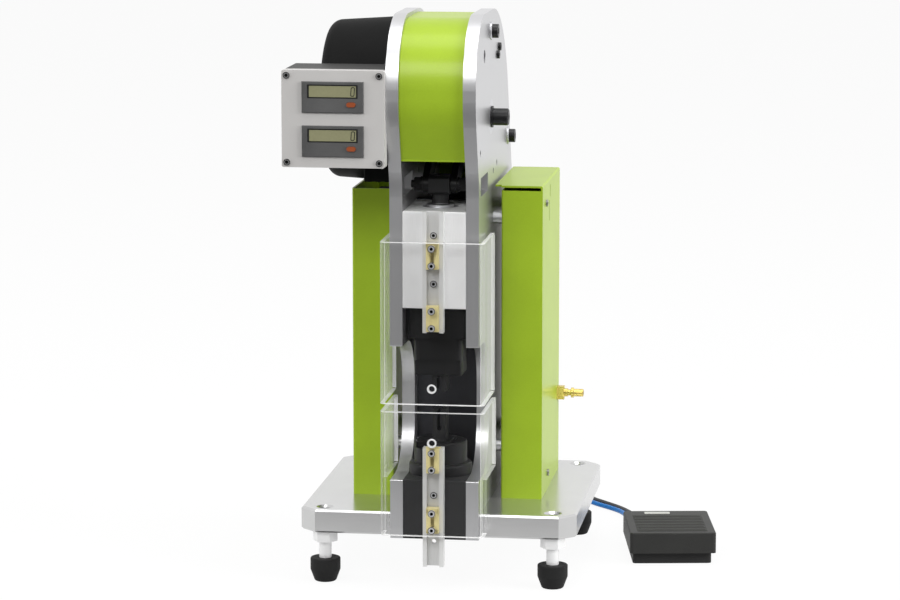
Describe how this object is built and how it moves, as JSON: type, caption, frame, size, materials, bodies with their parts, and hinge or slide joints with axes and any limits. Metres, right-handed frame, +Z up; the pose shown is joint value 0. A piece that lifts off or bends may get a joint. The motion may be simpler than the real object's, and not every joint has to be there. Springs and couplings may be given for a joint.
{
  "type": "bench crimping machine",
  "caption": "Motor-driven bench crimping press with cam and lever ram, sliding clear guards, counters and foot pedal.",
  "frame": {"origin": "floor point below the centre of the base plate, midway between the four feet", "axes": "+X to the machine's right, +Y to its back, +Z up"},
  "size_m": [0.329, 0.4458, 0.452],
  "materials": {
    "green_paint": "satin powder coat",
    "plate_metal": "fine matt",
    "bright_aluminium": "brushed",
    "bright_steel": "machined",
    "black_steel": "blackened",
    "black_plastic": "moulded",
    "grey_plastic": "moulded",
    "dark_grey_plastic": "moulded",
    "orange_plastic": "moulded",
    "clear_sheet": "clear",
    "brass_part": "bright",
    "rubber_part": "matt",
    "blue_line": "smooth"
  },
  "bodies": {
    "machine_frame": {"air_coil": "blue_line", "air_line": "blue_line", "air_plug": "brass_part", "anvil_block": "black_steel", "back_panel": "black_steel", "base_plate": "plate_metal", "box_standoffs": "black_steel", "cable_block": "black_plastic", "control_unit": "black_plastic", "counter_case": "grey_plastic", "counter_lid": "grey_plastic", "cover_screws": "black_steel", "die": "black_steel", "die_holder": "black_steel", "foot_rubbers": "rubber_part", "foot_studs": "bright_steel", "gearbox": "black_steel", "guide_block": "bright_aluminium", "guide_bush": "bright_steel", "head_cover": "green_paint", "left_box": "green_paint", "lever_pin": "bright_steel", "line_glands": "black_plastic", "lower_counter": "dark_grey_plastic", "lower_rail": "bright_aluminium", "motor": "black_steel", "motor_cover": "black_plastic", "pedal_base": "black_plastic", "pedal_pin": "bright_steel", "plate_screws": "black_steel", "rail_screws": "bright_steel", "right_box": "green_paint", "right_box_cover": "green_paint", "shaft_bearings": "bright_steel", "side_plate_left": "plate_metal", "side_plate_right": "plate_metal", "signal_coil": "black_plastic", "signal_line": "black_plastic", "throat_web": "black_steel", "tie_rods": "black_steel", "upper_counter": "dark_grey_plastic", "upper_rail": "bright_aluminium"},
    "shaft_body": {"main_shaft": "black_steel", "cam": "black_steel"},
    "lever_body": {"lever": "black_steel", "roller_pin": "bright_steel"},
    "roller_body": {"lever_roller": "bright_steel"},
    "ram_body": {"ram": "bright_steel", "cross_pin": "bright_steel", "tool_holder": "black_steel", "punch": "black_steel"},
    "upper_guard_body": {"upper_guard": "clear_sheet", "upper_clamps": "brass_part", "upper_clamp_screws": "bright_steel"},
    "lower_guard_body": {"lower_guard": "clear_sheet", "lower_clamps": "brass_part", "lower_clamp_screws": "bright_steel"},
    "lower_button_body": {"lower_reset_button": "orange_plastic"},
    "upper_button_body": {"upper_reset_button": "orange_plastic"},
    "pedal_body": {"pedal_treadle": "black_plastic"}
  },
  "joints": [
    {"name": "main_shaft_turn", "type": "hinge", "parent": "machine_frame", "child": "shaft_body", "pos_m": [0, -0.044, 0.3675], "axis": [1, 0, 0], "range_deg": [0, 180]},
    {"name": "lever_swing", "type": "hinge", "parent": "machine_frame", "child": "lever_body", "pos_m": [0, 0.064, 0.3404], "axis": [1, 0, 0], "range_deg": [0, 3.49]},
    {"name": "ram_slide", "type": "slide", "parent": "machine_frame", "child": "ram_body", "axis": [0, 0, -1], "range_m": [0, 0.009]},
    {"name": "lever_roller_spin", "type": "hinge", "parent": "lever_body", "child": "roller_body", "pos_m": [0, -0.044, 0.3422], "axis": [1, 0, 0], "continuous": true},
    {"name": "upper_guard_slide", "type": "slide", "parent": "machine_frame", "child": "upper_guard_body", "axis": [0, 0, 1], "range_m": [0, 0.024]},
    {"name": "lower_guard_slide", "type": "slide", "parent": "machine_frame", "child": "lower_guard_body", "axis": [0, 0, -1], "range_m": [0, 0.02]},
    {"name": "lower_reset_button_push", "type": "slide", "parent": "machine_frame", "child": "lower_button_body", "axis": [0, 1, 0], "range_m": [0, 0.0008], "stiffness_N_per_m": 400, "springref_m": -0.0006},
    {"name": "upper_reset_button_push", "type": "slide", "parent": "machine_frame", "child": "upper_button_body", "axis": [0, 1, 0], "range_m": [0, 0.0008], "stiffness_N_per_m": 400, "springref_m": -0.0006},
    {"name": "pedal_press", "type": "hinge", "parent": "machine_frame", "child": "pedal_body", "pos_m": [0.16814, 0.06455, 0.017], "axis": [0.9877, 0.1564, 0], "range_deg": [0, 4], "stiffness_Nm_per_rad": 1.5, "springref_deg": -5.73}
  ],
  "couplings": [
    {"joint": "lever_swing", "follows": "ram_slide", "rad_per_m": 6.761},
    {"joint": "main_shaft_turn", "follows": "ram_slide", "rad_per_m": 349.06}
  ]
}
